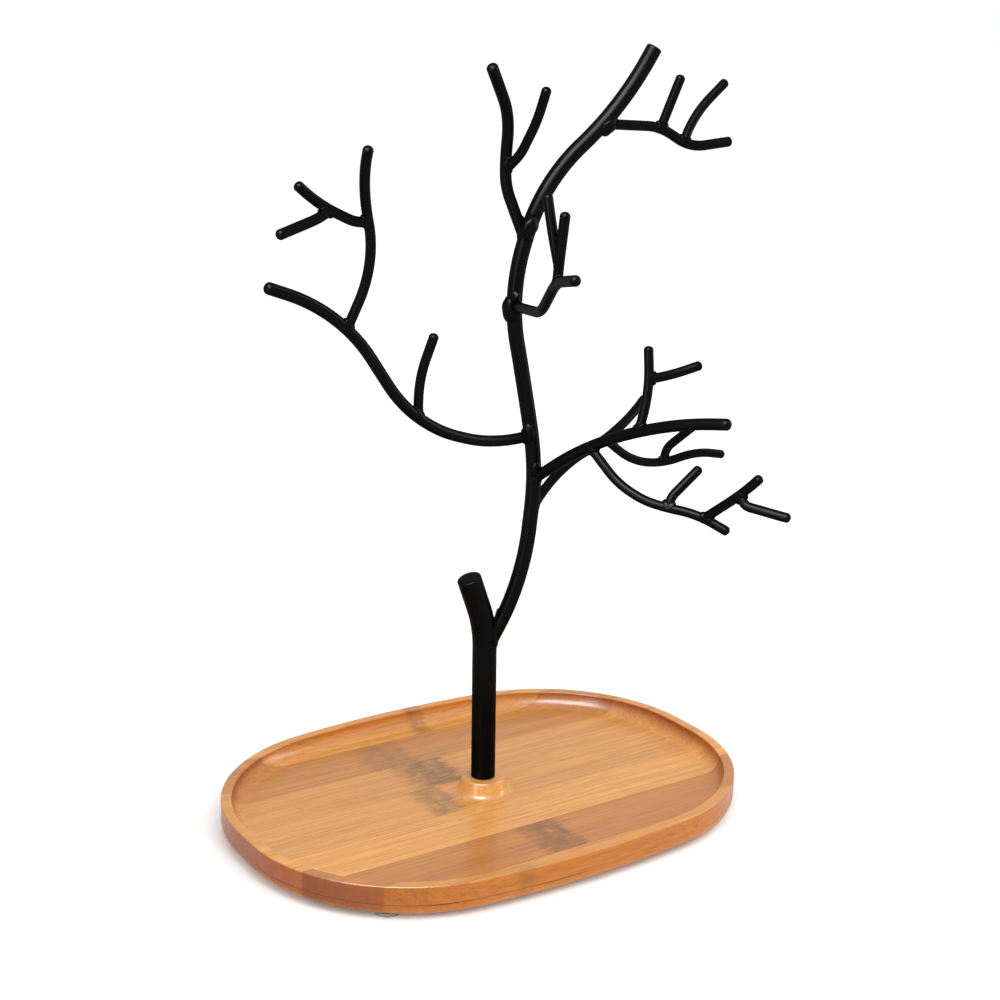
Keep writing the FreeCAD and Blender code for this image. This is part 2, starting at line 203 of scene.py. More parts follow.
class TreeBambooLook(bpy.types.PropertyGroup):
    """Laminated bamboo under clear lacquer."""
    strip_width: bpy.props.FloatProperty(
        name="Strip width", description="Width of a glued strip", default=33.6 * MM, unit="LENGTH")
    joint: bpy.props.FloatProperty(
        name="Joint", description="Y of one glue joint from the middle of the tray",
        default=-49.5 * MM, unit="LENGTH")
    layer_seam: bpy.props.FloatProperty(
        name="Layer seam", description="Height of the glue line between the two layers",
        default=6.1 * MM, unit="LENGTH")
    fibre_pitch: bpy.props.FloatProperty(
        name="Fibre pitch", description="Distance between fibre bundles across the grain",
        default=0.8 * MM, unit="LENGTH")
    fibre_length: bpy.props.FloatProperty(
        name="Fibre length", description="Length of a fibre bundle that shows",
        default=22 * MM, unit="LENGTH")
    lacquer: bpy.props.FloatProperty(
        name="Lacquer", description="Weight of the clear lacquer",
        default=0.45, min=0, max=1, subtype="FACTOR")
    lacquer_roughness: bpy.props.FloatProperty(
        name="Lacquer roughness", description="Roughness of the clear lacquer",
        default=0.25, min=0, max=1, subtype="FACTOR")


class TreeRodLook(bpy.types.PropertyGroup):
    """Powder-coated rods and their weld beads."""
    coat: bpy.props.FloatVectorProperty(
        name="Powder coat", description="Colour of the black coat", subtype="COLOR",
        size=3, min=0, max=1, default=linear("#030303")[:3])
    roughness: bpy.props.FloatProperty(
        name="Coat roughness", description="Roughness of the coat",
        default=0.3, min=0, max=1, subtype="FACTOR")
    shine: bpy.props.FloatProperty(
        name="Shine", description="Share of the coat's skin that is glossy",
        default=0.1, min=0, max=1, subtype="FACTOR")
    peel_size: bpy.props.FloatProperty(
        name="Orange peel size", description="Distance between the coat's low bumps",
        default=1.6 * MM, unit="LENGTH")
    sides: bpy.props.IntProperty(
        name="Sides", description="Faces round a rod", default=40, min=8)
    step: bpy.props.FloatProperty(
        name="Ring spacing", description="Distance between rings along a rod",
        default=1.2 * MM, unit="LENGTH")
    dome: bpy.props.FloatProperty(
        name="Tip dome", description="Height of a round tip, as a share of the radius",
        default=0.8, min=0, max=1, subtype="FACTOR")
    bead: bpy.props.FloatProperty(
        name="Bead size", description="Leg of a weld bead, as a share of the rod's radius",
        default=0.5, min=0, max=1, subtype="FACTOR")
    lumpiness: bpy.props.FloatProperty(
        name="Lumpiness", description="How unevenly a bead swells round the rod",
        default=0.2, min=0, max=1, subtype="FACTOR")
    seed: bpy.props.IntProperty(name="Seed", description="Varies the lumps", default=7)


class TreeStudioLook(bpy.types.PropertyGroup):
    """Camera."""
    azimuth: bpy.props.FloatProperty(
        name="Azimuth", description="Camera heading, from looking along +Y",
        default=np.radians(-32.81), subtype="ANGLE")
    elevation: bpy.props.FloatProperty(
        name="Elevation", description="Camera height above level",
        default=np.radians(15.477), subtype="ANGLE")
    roll: bpy.props.FloatProperty(
        name="Roll", description="Camera turned about its view",
        default=np.radians(0.7), subtype="ANGLE")
    distance: bpy.props.FloatProperty(
        name="Distance", description="From the camera to the target on the post's axis",
        default=891 * MM, unit="LENGTH")
    target: bpy.props.FloatProperty(
        name="Target height", description="Height of the target above the ground",
        default=176.8 * MM, unit="LENGTH")
    lens: bpy.props.FloatProperty(
        name="Lens", description="Focal length for a 36 mm sensor", default=60.01, unit="CAMERA")
    shift_x: bpy.props.FloatProperty(
        name="Shift X", description="Sideways shift, share of the frame's width",
        default=0.0137, min=-1, max=1, subtype="FACTOR")
    shift_y: bpy.props.FloatProperty(
        name="Shift Y", description="Upward shift, share of the frame's width",
        default=0.0012, min=-1, max=1, subtype="FACTOR")


def look(group):
    """A settings group as plain values: its lengths in millimetres, its angles in degrees.

    They are rounded, because Blender keeps them in single precision.
    """
    stored = getattr(bpy.context.scene, group)
    factors = {"LENGTH": 1 / MM, "ROTATION": 180 / np.pi}
    values = {}
    for name in GROUPS[group].__annotations__:
        value, unit_kind = getattr(stored, name), stored.bl_rna.properties[name].unit
        values[name] = round(value * factors[unit_kind], 4) if unit_kind in factors else value
    return SimpleNamespace(**values)


# ------------------------------------------------------------------ mesh and node helpers
MATH = "ShaderNodeMath"


def add(tree, kind, inputs=(), **settings):
    """Adds a node: settings are its properties; inputs, in order or by name, are values,
    sockets to link, or nodes whose first output is linked."""
    node = tree.nodes.new(kind)
    for name, value in settings.items():
        setattr(node, name, value)
    for key, value in inputs.items() if isinstance(inputs, dict) else enumerate(inputs):
        if isinstance(value, bpy.types.Node):
            value = value.outputs[0]
        if isinstance(value, bpy.types.NodeSocket):
            tree.links.new(value, node.inputs[key])
        else:
            node.inputs[key].default_value = value
    return node


def new_material(name):
    """An empty node material and its tree."""
    material = bpy.data.materials.new(name)
    material.use_nodes = True
    material.node_tree.nodes.clear()
    return material, material.node_tree


def grid_faces(rows, columns, wrap_rows=False):
    """Quads of a grid whose columns close on themselves: each point, the next column's, and
    the same two one row on."""
    row = np.arange(rows if wrap_rows else rows - 1)[:, None]
    column = np.arange(columns)[None, :]
    ahead = (row + 1) % rows
    beside = (column + 1) % columns
    corners = [row * columns + column, row * columns + beside,
               ahead * columns + beside, ahead * columns + column]
    return np.stack([c.reshape(-1) for c in np.broadcast_arrays(*corners)], axis=1)


def closed_faces(rows, columns):
    """Quads of such a grid, and triangles from its first and last rows to two more points,
    which follow the grid's and close its ends."""
    column = np.arange(columns)
    beside = (column + 1) % columns
    last = (rows - 1) * columns
    first_pole, last_pole = rows * columns, rows * columns + 1
    return [grid_faces(rows, columns),
            np.stack([beside, column, np.full(columns, first_pole)], axis=1),
            np.stack([last + column, last + beside, np.full(columns, last_pole)], axis=1)]


def surface(name, points, faces, material, replaces=()):
    """Object at the origin from points in millimetres and arrays of quads or triangles.

    It rides on the part's one body.
    """
    mesh = bpy.data.meshes.new(name)
    mesh.vertices.add(len(points))
    mesh.vertices.foreach_set("co", (np.asarray(points) * MM).astype(np.float32).ravel())
    corners = np.concatenate([block.ravel() for block in faces]).astype(np.int32)
    sizes = np.concatenate([np.full(len(block), block.shape[1]) for block in faces])
    starts = (np.cumsum(sizes) - sizes).astype(np.int32)
    mesh.loops.add(len(corners))
    mesh.loops.foreach_set("vertex_index", corners)
    mesh.polygons.add(len(sizes))
    mesh.polygons.foreach_set("loop_start", starts)
    mesh.polygons.foreach_set("use_smooth", np.ones(len(sizes), bool))
    mesh.update(calc_edges=True)
    mesh.materials.append(material)
    piece = bpy.data.objects.new(name, mesh)
    bpy.context.scene.collection.objects.link(piece)
    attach(piece, BODY)
    if replaces:
        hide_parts(*replaces)
    return piece


# ------------------------------------------------------------------ centrelines and tubes
def unit(vector):
    """The vector, or each row of them, divided by its length."""
    return vector / np.linalg.norm(vector, axis=-1, keepdims=True)


def square_pair(ahead):
    """Two unit vectors square to each direction and to each other.

    The first is square to the coordinate axis too that the directions come least near to.
    """
    reference = np.eye(3)[np.argmin(np.abs(np.atleast_2d(ahead)).max(axis=0))]
    u = unit(np.cross(ahead, reference))
    return u, np.cross(ahead, u)


def direction(heading, climb):
    """Unit vector of a run: (cos climb cos heading, cos climb sin heading, sin climb)."""
    heading, climb = np.radians(heading), np.radians(climb)
    return np.array([np.cos(climb) * np.cos(heading), np.cos(climb) * np.sin(heading), np.sin(climb)])


ARC_POINTS = 4          # fewest round a bend, its end included
NO_RUN = 1e-4           # mm, a straight stretch shorter than this is left out
HAIR = 1e-6             # of a step, so that rounding can't add a ring


class Centreline:
    """Straight runs joined by tangent arcs: points and directions every step, from the root."""

    def __init__(self, root, rod, root_straight, step):
        ahead = [direction(*run[1:]) for run in rod.runs]
        lengths = [run[0] for run in rod.runs]
        corners = root + np.cumsum([np.zeros(3)] + [a * n for a, n in zip(ahead, lengths)], axis=0)
        sweeping, last = rod.bend >= SWEEPING, len(rod.runs) - 1
        places, headings = [], []
        reached = root
        for i in range(1, len(rod.runs)):
            angle = np.arccos(np.clip(ahead[i - 1] @ ahead[i], -1, 1))
            before = lengths[0] - root_straight if sweeping and i == 1 else rod.bend * lengths[i - 1]
            after = lengths[i] - TIP_STRAIGHT if sweeping and i == last else rod.bend * lengths[i]
            tangent = min(before, after)
            radius = tangent / np.tan(angle / 2)
            start = corners[i] - ahead[i - 1] * tangent
            axis = unit(np.cross(ahead[i - 1], ahead[i]))
            inward = np.cross(axis, ahead[i - 1])
            self.line(places, headings, reached, start, step)
            # An arc: start + radius (inward (1 - cos t) + ahead sin t).
            t = np.linspace(0, angle, max(ARC_POINTS, int(radius * angle / step - HAIR)))[:-1, None]
            places.append(start + radius * (inward * (1 - np.cos(t)) + ahead[i - 1] * np.sin(t)))
            headings.append(ahead[i - 1] * np.cos(t) + inward * np.sin(t))
            reached = corners[i] + ahead[i] * tangent
        self.line(places, headings, reached, corners[-1], step)
        self.points = np.concatenate(places + [corners[-1][None]])
        self.directions = np.concatenate(headings + [ahead[-1][None]])
        gaps = np.linalg.norm(np.diff(self.points, axis=0), axis=1)
        self.distances = np.concatenate([[0], np.cumsum(gaps)])

    @staticmethod
    def line(places, headings, start, end, step):
        """Adds a straight stretch's points, start + (end - start) t, without its end."""
        length = np.linalg.norm(end - start)
        if length > NO_RUN:
            t = np.linspace(0, 1, max(2, int(length / step - HAIR)))[:-1, None]
            places.append(start + (end - start) * t)
            headings.append(np.broadcast_to((end - start) / length, (len(t), 3)))

    def at(self, distance):
        """Points and directions at distances along the line."""
        place, ahead = [np.stack([np.interp(distance, self.distances, rows[:, k]) for k in range(3)],
                                 axis=-1) for rows in (self.points, self.directions)]
        return place, unit(ahead)


CUT_EDGE = 1.0          # rounding of a sawn end, mm
TIP_POINTS = 9          # over the rounding of a tip, its ends included
CUT_RINGS = (0.6, 0.2)  # on a sawn end's flat, shares of the radius
ROOT_RING = 0.5         # on the hidden welded end's flat, share of the radius
ROOT_CHAMFER = 0.3      # of the hidden welded end, mm
EDGE_LOOP = 0.1         # from that chamfer to the ring that keeps the flat flat, mm
TIP_LOOP = 0.15         # from the tip's first ring back to the last full one, mm


def tip_profile(radius, length, tip, dome):
    """Distances and radii over a rod's free end.

    Round: an ellipse quarter, radius cos t at height dome sin t.  Sawn: a small rounding,
    then flat across.
    """
    t = np.linspace(0, np.pi / 2, TIP_POINTS)[1:-1]
    if tip == "round":
        height = dome * radius
        return length - height + height * np.sin(t), radius * np.cos(t)
    edge = CUT_EDGE
    return (np.concatenate([length - edge + edge * np.sin(t), np.full(len(CUT_RINGS), length)]),
            np.concatenate([radius - edge + edge * np.cos(t), radius * np.array(CUT_RINGS)]))


def tube(line, radius, tip, dome, sides):
    """Closed tube: centreline point plus radius (cos a u + sin a v), with u and v square to
    the line; the radius narrows at both ends and a point closes each."""
    ends, end_radii = tip_profile(radius, line.distances[-1], tip, dome)
    inner = line.distances[(line.distances > 2 * ROOT_CHAMFER)
                           & (line.distances < ends[0] - 2 * TIP_LOOP)]
    distances = np.concatenate([[0, 0, 0, ROOT_CHAMFER], inner, [ends[0] - TIP_LOOP], ends])
    root_radii = [radius * ROOT_RING, radius - (ROOT_CHAMFER + EDGE_LOOP),
                  radius - ROOT_CHAMFER, radius]
    radii = np.concatenate([root_radii, np.full(len(inner) + 1, radius), end_radii])
    centres, ahead = line.at(distances)
    u, v = square_pair(ahead)
    a = np.linspace(0, 2 * np.pi, sides, endpoint=False)[None, :, None]
    rings = centres[:, None] + radii[:, None, None] * (np.cos(a) * u[:, None]
                                                       + np.sin(a) * v[:, None])
    points = np.concatenate([rings.reshape(-1, 3), line.points[:1], line.points[-1:]])
    return points, closed_faces(len(distances), sides)


def plan_tree(step):
    """Centreline and radius of every rod, each placed on the rod that carries it."""
    lines, radii = {}, {}
    for name, rod in RODS.items():
        radius = rod.diameter / 2
        if rod.carrier is None:
            root, root_straight = POST_FOOT, 0
        else:
            root, carrier_ahead = lines[rod.carrier].at(rod.at)
            slant = np.arccos(np.clip(direction(*rod.runs[0][1:]) @ carrier_ahead, -1, 1))
            root_straight = radii[rod.carrier] / np.sin(slant) + radius * WELD_LEG
        lines[name], radii[name] = Centreline(root, rod, root_straight, step), radius
    return lines, radii


# ------------------------------------------------------------------ welds
BEAD_STEPS, BEAD_SIDES = 64, 24     # points round a bead, and round its section
BEAD_RIPPLE = 0.3       # of the lumpiness, for the waves that also run round the section
BEAD_SPREAD = 0.9       # of its leg, how far a bead spreads over the carrier's skin
BEAD_PINCH = 0.5        # of its leg, what a bead loses where the two skins close on each other
WAVES = (2, 7)          # fewest waves round a bead, and one more than the most
WEAKEST = 0.4           # of the strongest, how high a wave may be drawn at least


def swell(angle, amount, random):
    """1 + a few whole waves round the bead, of falling height and drawn phase."""
    waves = np.arange(*WAVES)
    phases = random.uniform(0, 2 * np.pi, len(waves))
    heights = amount * random.uniform(WEAKEST, 1.0, len(waves)) / np.sqrt(waves)
    return 1 + (heights * np.cos(waves * angle[..., None] + phases)).sum(axis=-1)


def bead(root, ahead, radius, carrier_ahead, carrier_radius, size, lumpiness, random):
    """Ring of weld metal along the seam of two round rods.

    The seam is where the branch's cylinder meets the carrier's: at angle t round the
    branch, s along it solves |a + s b| = carrier radius, with a and b the parts of the
    branch's radius and direction that are square to the carrier.  The bead's section is the
    ellipse seam + size (cos p ahead + spread sin p aside): one axis lies along the branch and
    the other along the carrier's skin, so a quarter of it fills the corner between them.
    """
    def square(vectors):
        """The part of each vector that is square to the carrier."""
        return vectors - (vectors @ carrier_ahead)[..., None] * carrier_ahead

    t = np.linspace(0, 2 * np.pi, BEAD_STEPS, endpoint=False)
    u, v = square_pair(ahead)
    out = np.cos(t)[:, None] * u + np.sin(t)[:, None] * v
    a, b = square(radius * out), square(ahead[None])[0]
    ab, bb = a @ b, b @ b
    s = (-ab + np.sqrt(ab ** 2 - bb * ((a * a).sum(axis=1) - carrier_radius ** 2))) / bb
    seam = root + radius * out + s[:, None] * ahead
    carrier_out = unit(a + s[:, None] * b)
    aside = unit(out - (out * carrier_out).sum(axis=1)[:, None] * carrier_out)
    p = np.linspace(0, 2 * np.pi, BEAD_SIDES, endpoint=False)
    ripple = swell(p[None, :] + 2 * t[:, None], lumpiness * BEAD_RIPPLE, random)
    opening = 1 - BEAD_PINCH * np.clip(aside @ ahead, 0, 1)
    reach = (size * (opening * swell(t, lumpiness, random))[:, None] * ripple)[..., None]
    rings = (seam[:, None] + reach * (np.cos(p)[None, :, None] * ahead
                                      + BEAD_SPREAD * np.sin(p)[None, :, None] * aside[:, None]))
    return rings.reshape(-1, 3), [grid_faces(len(t), len(p), wrap_rows=True)[:, ::-1]]


# Stray weld metal on the main stem: distance along it, heading and climb of the way it faces,
# and half-height, half-width and thickness in mm.
LUMPS = {
    "lump_front_branch": (195.5, 178, 0, 7.0, 4.4, 3.0),
    "lump_front_branch_top": (202.5, -112, 0, 3.6, 3.0, 3.0),
    "lump_crown_left": (238, -128, 0, 7.0, 4.6, 4.4),
    "lump_crown_right": (304, -45, 0, 6.0, 4.6, 3.4),
    "lump_left_bough": (128.5, -140, 0, 5.2, 3.2, 2.2),
    "lump_right_bough": (108, -110, 0, 4.5, 3.2, 2.6),
    "lump_stem_foot": (9.0, -150, 10, 4.0, 3.4, 3.2)}
LUMP_ROWS, LUMP_SIDES = 19, 32      # rings between a lump's two poles, and points round each
LUMP_WAVES = 0.10       # height of the waves in a lump, share of its size
LUMP_SINK = 0.25        # of its thickness, how deep its centre lies under the stem's skin


def lump(centre, ahead, outward, half_sizes, random):
    """Ellipsoid with a few waves in its radius: centre + k (h sin e ahead + cos e (w cos t
    aside + d sin t outward)), where k = 1 + small waves of t and e."""
    aside = np.cross(ahead, outward)
    e = np.linspace(-np.pi / 2, np.pi / 2, LUMP_ROWS + 2)[1:-1, None, None]
    t = np.linspace(0, 2 * np.pi, LUMP_SIDES, endpoint=False)[None, :, None]
    k = 1 + (swell((t + e)[..., 0], LUMP_WAVES, random)[..., None] - 1) * np.cos(e)
    h, w, d = half_sizes
    rings = centre + k * (h * np.sin(e) * ahead + w * np.cos(e) * np.cos(t) * aside
                          + d * np.cos(e) * np.sin(t) * outward)
    points = np.concatenate([rings.reshape(-1, 3), [centre - h * ahead, centre + h * ahead]])
    return points, closed_faces(LUMP_ROWS, LUMP_SIDES)


# ------------------------------------------------------------------ materials
def powder_coat():
    """Black polyester powder coat, sprayed on steel and baked.

    It gives the eye a deep satin black, with a low orange peel that makes the long
    highlights waver.
    """
    name = "satin_black_powder_coat"
    if name in bpy.data.materials:
        return bpy.data.materials[name]
    settings = look("tree_rods")
    material, tree = new_material(name)
    place = add(tree, "ShaderNodeTexCoord")
    mm = add(tree, "ShaderNodeVectorMath", {0: place.outputs["Object"], "Scale": 1 / MM},
             operation="SCALE")
    peel = add(tree, "ShaderNodeTexNoise", {"Vector": mm, "Scale": 1 / settings.peel_size,
                                            "Detail": 2.0, "Roughness": 0.45})
    bump = add(tree, "ShaderNodeBump", {"Height": peel, "Strength": 0.25, "Distance": 0.08 * MM})
    cloud = add(tree, "ShaderNodeTexNoise", {"Vector": mm, "Scale": 0.05, "Detail": 2.0})
    gloss = add(tree, "ShaderNodeMapRange", {
        "Value": cloud, "From Min": 0.3, "From Max": 0.7,
        "To Min": settings.roughness - 0.03, "To Max": settings.roughness + 0.05})
    # The fine texture leaves most of the skin matt; the rest shines like any polyester.
    colour = (*settings.coat, 1.0)
    matt = add(tree, "ShaderNodeBsdfDiffuse", {"Color": colour})
    glossy = add(tree, "ShaderNodeBsdfPrincipled", {"Base Color": colour, "Roughness": gloss,
                                                    "Normal": bump})
    skin = add(tree, "ShaderNodeMixShader", (settings.shine, matt, glossy))
    add(tree, "ShaderNodeOutputMaterial", {"Surface": skin})
    return material


# Where each strip of the tray starts, y in mm from its middle, and its colour.
# The last strip, from 84.9, is split at 97.5, where there is no glue joint. Both of its tones are
# lighter than the strip before it, for the light on the rear cove: partly the strip's own tone,
# partly painted highlight.
STRIPS = [(-118.0, "#cf8c42"), (-83.1, "#b97635"), (-49.5, "#db994d"), (-15.9, "#d0904a"),
          (17.7, "#cd8d47"), (51.3, "#bb7a38"), (84.9, "#cf9044"), (97.5, "#d48e40")]
BOARD_SPAN = 236.0      # from the first strip's start to beyond the rear edge, mm
# Where the culm's joints show: strip number, first and last x in mm, and strength.
KNUCKLES = [(-1, -14, 15, 1.0), (1, -42, -18, 0.8), (2, -34, 4, 1.0), (3, -44, -8, 0.6),
            (4, 6, 20, 0.7), (-2, -48, -36, 0.35), (0, 152, 170, 0.8)]
KNUCKLE_STRAY = 15.0    # how far a culm joint's ends wander along the strip, mm
KNUCKLE_DEPTH = 0.85    # weight of the dark brown over a culm joint
BAND_AT = 0.7           # a culm joint's dark band, share of its half-length from its middle
BAND_SHARPNESS = 4.0    # one over the band's half-width, in the same shares
BAND_STRENGTH = 0.5     # what the band adds to the patch, which is 1 in its middle
STRIP_SHIFT = 61.3      # how far the grain moves along from each strip to the next, mm
LAYER_SHIFT = 37.0      # how many such moves the upper layer's grain is from the lower's
BOSS_ZONE = 30.0        # from the middle, mm: what is steep inside it is the boss
BOSS_FIGURE = 1.9       # strength of the boss's pale loops
JOINT_WIDTH = 0.16      # half of the dark line between two strips, mm
JOINT_DEPTH = 0.3       # of the dark glue colour
SEAM_WIDTH = 0.55       # half of the line between the layers at its widest, mm
SEAM_DEPTH = 0.85       # of the dark glue colour


def lacquered_bamboo():
    """Bamboo strips glued side by side in two layers, planed, routed and lacquered.

    They give the eye warm stripes of differing tone with fine dark fibre bundles along them.
    A mottled patch with one dark band near its +X end marks each joint of the culm, and the
    lacquer over it all has a soft sheen.
    """
    settings = look("tree_bamboo")
    material, tree = new_material("lacquered_laminated_bamboo")

    def grain(along, across, detail, roughness=0.55):
        """Noise drawn out along the strips; both sizes in mm, and other in every strip."""
        moved = add(tree, MATH, (number, STRIP_SHIFT, x), operation="MULTIPLY_ADD")
        point = add(tree, "ShaderNodeCombineXYZ", [
            add(tree, MATH, (value, size), operation="DIVIDE")
            for value, size in ((moved, along), (y, across), (z, across))])
        return add(tree, "ShaderNodeTexNoise", {"Vector": point, "Scale": 1.0, "Detail": detail,
                                                "Roughness": roughness})

    place = add(tree, "ShaderNodeTexCoord")
    middle = (TRAY_CENTRE[0] * MM, TRAY_CENTRE[1] * MM, TRAY_LOW[2] * MM)
    centred = add(tree, "ShaderNodeVectorMath", (place.outputs["Object"], middle),
                  operation="SUBTRACT")
    mm = add(tree, "ShaderNodeVectorMath", {0: centred, "Scale": 1 / MM}, operation="SCALE")
    x, y, z = add(tree, "ShaderNodeSeparateXYZ", [mm]).outputs
    from_joint = add(tree, MATH, (y, settings.joint), operation="SUBTRACT")
    strip_at = add(tree, MATH, (from_joint, settings.strip_width), operation="DIVIDE")
    strip = add(tree, MATH, [strip_at], operation="FLOOR")
    upper = add(tree, MATH, (z, settings.layer_seam), operation="GREATER_THAN")
    number = add(tree, MATH, (upper, LAYER_SHIFT, strip), operation="MULTIPLY_ADD")

    board_start = STRIPS[0][0]
    from_start = add(tree, MATH, (y, board_start), operation="SUBTRACT")
    share = add(tree, MATH, (from_start, BOARD_SPAN), operation="DIVIDE", use_clamp=True)
    tones = add(tree, "ShaderNodeValToRGB", [share])
    tones.color_ramp.interpolation = "CONSTANT"
    while len(tones.color_ramp.elements) < len(STRIPS):
        tones.color_ramp.elements.new(0.5)
    for stop, (start, colour) in zip(tones.color_ramp.elements, STRIPS):
        stop.position, stop.color = (start - board_start) / BOARD_SPAN, linear(colour)

    # Broad bands and fibre bundles give a depth near 1.  Where it is less, blue falls most
    # and red least, so darker wood is redder too.
    bands = grain(170.0, 4.5, 3.0)
    fibres = grain(settings.fibre_length, settings.fibre_pitch, 3.0, 0.6)
    streaks = grain(75.0, 0.9, 2.0)
    dashes = grain(7.0, 0.7, 1.0)
    broad = add(tree, MATH, (bands, 0.6, 0.5), operation="MULTIPLY_ADD")
    fine = add(tree, MATH, (fibres, 0.7, -0.15), operation="MULTIPLY_ADD")
    depth = add(tree, MATH, (broad, fine), operation="ADD")
    red = add(tree, MATH, (depth, 0.75), operation="POWER")
    blue = add(tree, MATH, (depth, 1.5), operation="POWER")
    shade = add(tree, "ShaderNodeCombineXYZ", (red, depth, blue))
    # What is laid over the strips' tones, in order: how much of it, its colour, and how.
    layers = [(1.0, shade, "MULTIPLY")]

    # Long dark streaks and short dark dashes.
    for marks, low, high, most in ((streaks, 0.55, 0.72, 0.5), (dashes, 0.62, 0.72, 0.3)):
        dark = add(tree, "ShaderNodeMapRange", {"Value": marks, "From Min": low,
                                                "From Max": high, "To Max": most})
        layers.append((dark, linear("#8f5a2a"), "MIX"))

    # Walls and the curve inside the rim are deeper in tone the steeper they are, most of all at the
    # ends,
    # where they cut across the strips: partly because cut edges drink more lacquer, partly as painted
    # shade.
    facing = add(tree, "ShaderNodeSeparateXYZ", [place.outputs["Normal"]])
    level = add(tree, MATH, [facing.outputs[2]], operation="ABSOLUTE")
    steep = add(tree, MATH, (1.0, level), operation="SUBTRACT")
    y_squared = add(tree, MATH, (y, y), operation="MULTIPLY")
    away_squared = add(tree, MATH, (x, x, y_squared), operation="MULTIPLY_ADD")
    away = add(tree, MATH, [away_squared], operation="SQRT")
    on_boss = add(tree, MATH, (away, BOSS_ZONE), operation="LESS_THAN")
    off_boss = add(tree, MATH, (1.0, on_boss), operation="SUBTRACT")
    wall = add(tree, MATH, (steep, off_boss), operation="MULTIPLY")
    endways = add(tree, MATH, [facing.outputs[0]], operation="ABSOLUTE")
    endways = add(tree, MATH, (endways, 2.0), operation="POWER")
    end_lacquer_and_shade = add(tree, MATH, (wall, endways), operation="MULTIPLY")
    layers += [(wall, linear("#f3d585"), "MULTIPLY"), (end_lacquer_and_shade, linear("#cfa263"), "MULTIPLY")]

    # The boss stands up out of the grain, which curls round it in pale loops.
    curl = add(tree, "ShaderNodeTexNoise", {"Vector": mm, "Scale": 0.35, "Detail": 3.0,
                                            "Distortion": 2.0})
    boss_side = add(tree, MATH, (on_boss, steep), operation="MULTIPLY")
    figure = add(tree, MATH, (curl, BOSS_FIGURE), operation="MULTIPLY")
    loops = add(tree, MATH, (boss_side, figure), operation="MULTIPLY", use_clamp=True)
    layers.append((loops, linear("#eeae54"), "MIX"))

    # Joints of the culm, each in one strip.  With offset the share of its half-length from
    # its middle, a patch is 1 - offset^2, and the band near its +X end is 1 - sharpness
    # |offset - band|; flecks and blotches break both up.
    flecks = grain(4.5, 0.9, 4.0, 0.7)
    mottle = add(tree, "ShaderNodeTexNoise", {"Vector": mm, "Scale": 0.12, "Detail": 5.0,
                                              "Roughness": 0.65})
    stray = add(tree, MATH, (grain(16.0, 1.8, 4.0, 0.6), KNUCKLE_STRAY, -KNUCKLE_STRAY / 2),
                operation="MULTIPLY_ADD")
    strayed = add(tree, MATH, (x, stray), operation="ADD")
    marks = 0.0
    for at_strip, first, last, strength in KNUCKLES:
        from_middle = add(tree, MATH, (strayed, (first + last) / 2), operation="SUBTRACT")
        offset = add(tree, MATH, (from_middle, (last - first) / 2), operation="DIVIDE")
        squared = add(tree, MATH, (offset, offset), operation="MULTIPLY")
        patch = add(tree, MATH, (1.0, squared), operation="SUBTRACT", use_clamp=True)
        from_band = add(tree, MATH, (offset, BAND_AT), operation="SUBTRACT")
        from_band = add(tree, MATH, [from_band], operation="ABSOLUTE")
        fall = add(tree, MATH, (from_band, BAND_SHARPNESS), operation="MULTIPLY")
        band = add(tree, MATH, (1.0, fall), operation="SUBTRACT", use_clamp=True)
        mark = add(tree, MATH, (band, BAND_STRENGTH, patch), operation="MULTIPLY_ADD")
        mark = add(tree, MATH, (mark, strength), operation="MULTIPLY")
        here = add(tree, MATH, (strip, at_strip, 0.5), operation="COMPARE")
        marks = add(tree, MATH, (mark, here, marks), operation="MULTIPLY_ADD")
    blotches = add(tree, MATH, (mottle, 0.6), operation="MULTIPLY")
    broken = add(tree, MATH, (flecks, 0.7, blotches), operation="MULTIPLY_ADD")
    blotch = add(tree, "ShaderNodeMapRange", {"Value": broken, "From Min": 0.5, "From Max": 0.74,
                                              "To Min": 0.3, "To Max": 1.0})
    knuckle = add(tree, MATH, (marks, blotch), operation="MULTIPLY")
    knuckle = add(tree, MATH, (knuckle, KNUCKLE_DEPTH), operation="MULTIPLY", use_clamp=True)
    layers.append((knuckle, linear("#6e4a20"), "MIX"))

    # Glue joints between the strips, and the glue line between the layers, which opens to
    # a different width along its way and closes in places.
    across = add(tree, MATH, [strip_at], operation="FRACT")
    rest = add(tree, MATH, (1.0, across), operation="SUBTRACT")
    nearer = add(tree, MATH, (across, rest), operation="MINIMUM")
    edge = add(tree, MATH, (nearer, settings.strip_width), operation="MULTIPLY")
    in_joint = add(tree, MATH, (edge, JOINT_WIDTH), operation="LESS_THAN")
    joint = add(tree, MATH, (in_joint, JOINT_DEPTH), operation="MULTIPLY")
    gape = add(tree, MATH, (grain(60.0, 300.0, 3.0), 3.0, -1.3), operation="MULTIPLY_ADD")
    gape = add(tree, MATH, (gape, SEAM_WIDTH), operation="MINIMUM")
    from_seam = add(tree, MATH, (z, settings.layer_seam), operation="SUBTRACT")
    from_seam = add(tree, MATH, [from_seam], operation="ABSOLUTE")
    in_seam = add(tree, MATH, (from_seam, gape), operation="LESS_THAN")
    seam = add(tree, MATH, (in_seam, SEAM_DEPTH), operation="MULTIPLY")
    glue = add(tree, MATH, (joint, seam), operation="MAXIMUM")
    layers.append((glue, linear("#5f3614"), "MIX"))

